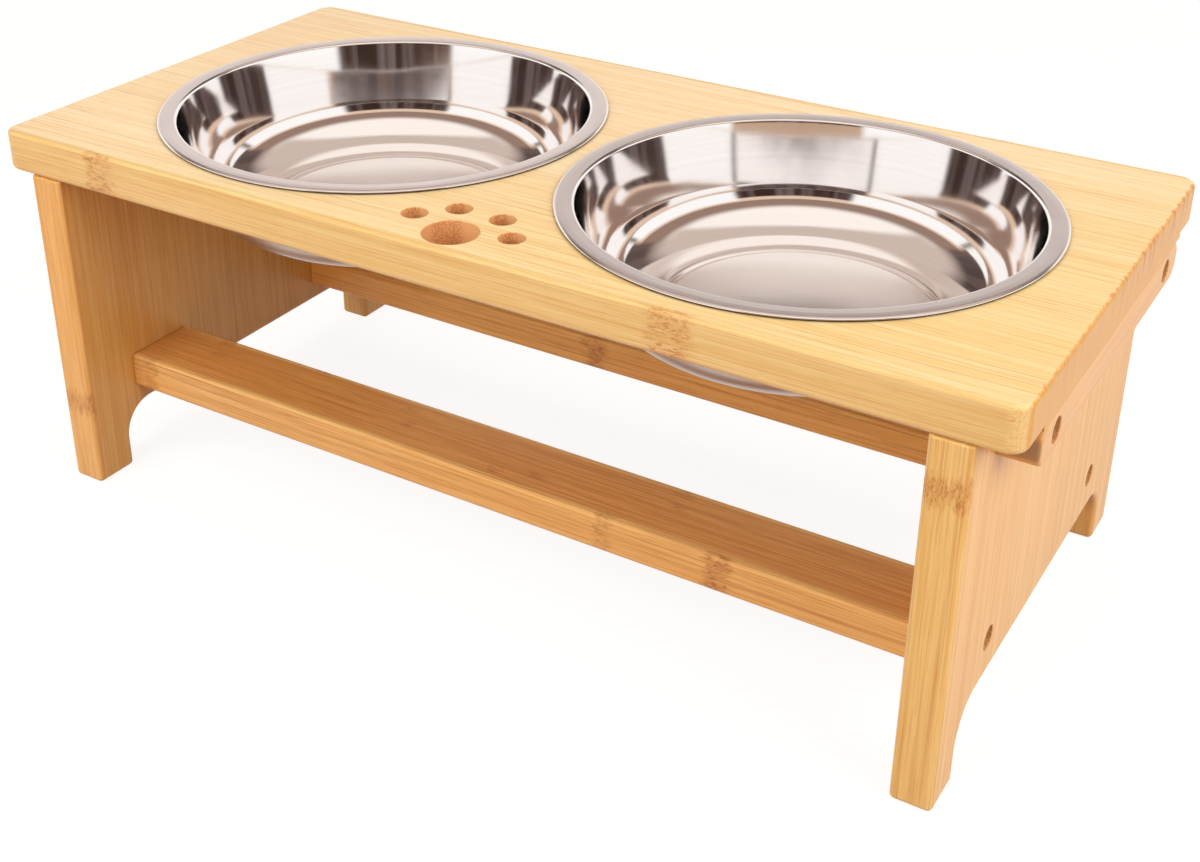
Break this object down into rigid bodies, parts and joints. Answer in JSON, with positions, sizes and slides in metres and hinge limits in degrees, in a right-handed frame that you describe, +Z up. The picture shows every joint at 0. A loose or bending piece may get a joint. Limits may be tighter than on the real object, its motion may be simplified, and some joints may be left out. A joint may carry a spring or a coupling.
{
  "type": "raised pet bowl stand",
  "caption": "Low bamboo bench with round cut-outs that hold pressed steel feeding bowls, on arched end panels joined by flat stretchers.",
  "frame": {"origin": "on the floor, under the middle of the top board", "axes": "+X along the board to its right end, +Y from the front to the rear, +Z up"},
  "size_m": [0.502, 0.242, 0.1898],
  "materials": {
    "bamboo_board": "satin lacquer, pale yellow, grain along the board",
    "bamboo_panel": "satin lacquer, grain upright",
    "bamboo_rail": "satin lacquer, grain along the rail",
    "bowl_steel": "polished inside, satin on the rim",
    "bolt_steel": "zinc plated",
    "insert_zinc": "zinc plated",
    "dowel_wood": "raw beech, glued in"
  },
  "bodies": {
    "stand": {"top_board": "bamboo_board", "left_cleat": "bamboo_board", "right_cleat": "bamboo_board", "left_panel": "bamboo_panel", "right_panel": "bamboo_panel", "front_stretcher": "bamboo_rail", "rear_stretcher": "bamboo_rail", "left_cleat_bolts": "bolt_steel", "right_cleat_bolts": "bolt_steel", "left_stretcher_bolts": "bolt_steel", "right_stretcher_bolts": "bolt_steel", "left_panel_inserts": "insert_zinc", "right_panel_inserts": "insert_zinc", "left_stretcher_inserts": "insert_zinc", "right_stretcher_inserts": "insert_zinc", "left_cleat_dowels": "dowel_wood", "right_cleat_dowels": "dowel_wood", "left_stretcher_dowels": "dowel_wood", "right_stretcher_dowels": "dowel_wood"},
    "left_bowl": {"left_bowl": "bowl_steel"},
    "right_bowl": {"right_bowl": "bowl_steel"}
  },
  "joints": [
    {"name": "left_bowl_lift", "type": "slide", "parent": "stand", "child": "left_bowl", "axis": [0, 0, 1], "range_m": [0, 0.08]},
    {"name": "right_bowl_lift", "type": "slide", "parent": "stand", "child": "right_bowl", "axis": [0, 0, 1], "range_m": [0, 0.08]}
  ]
}
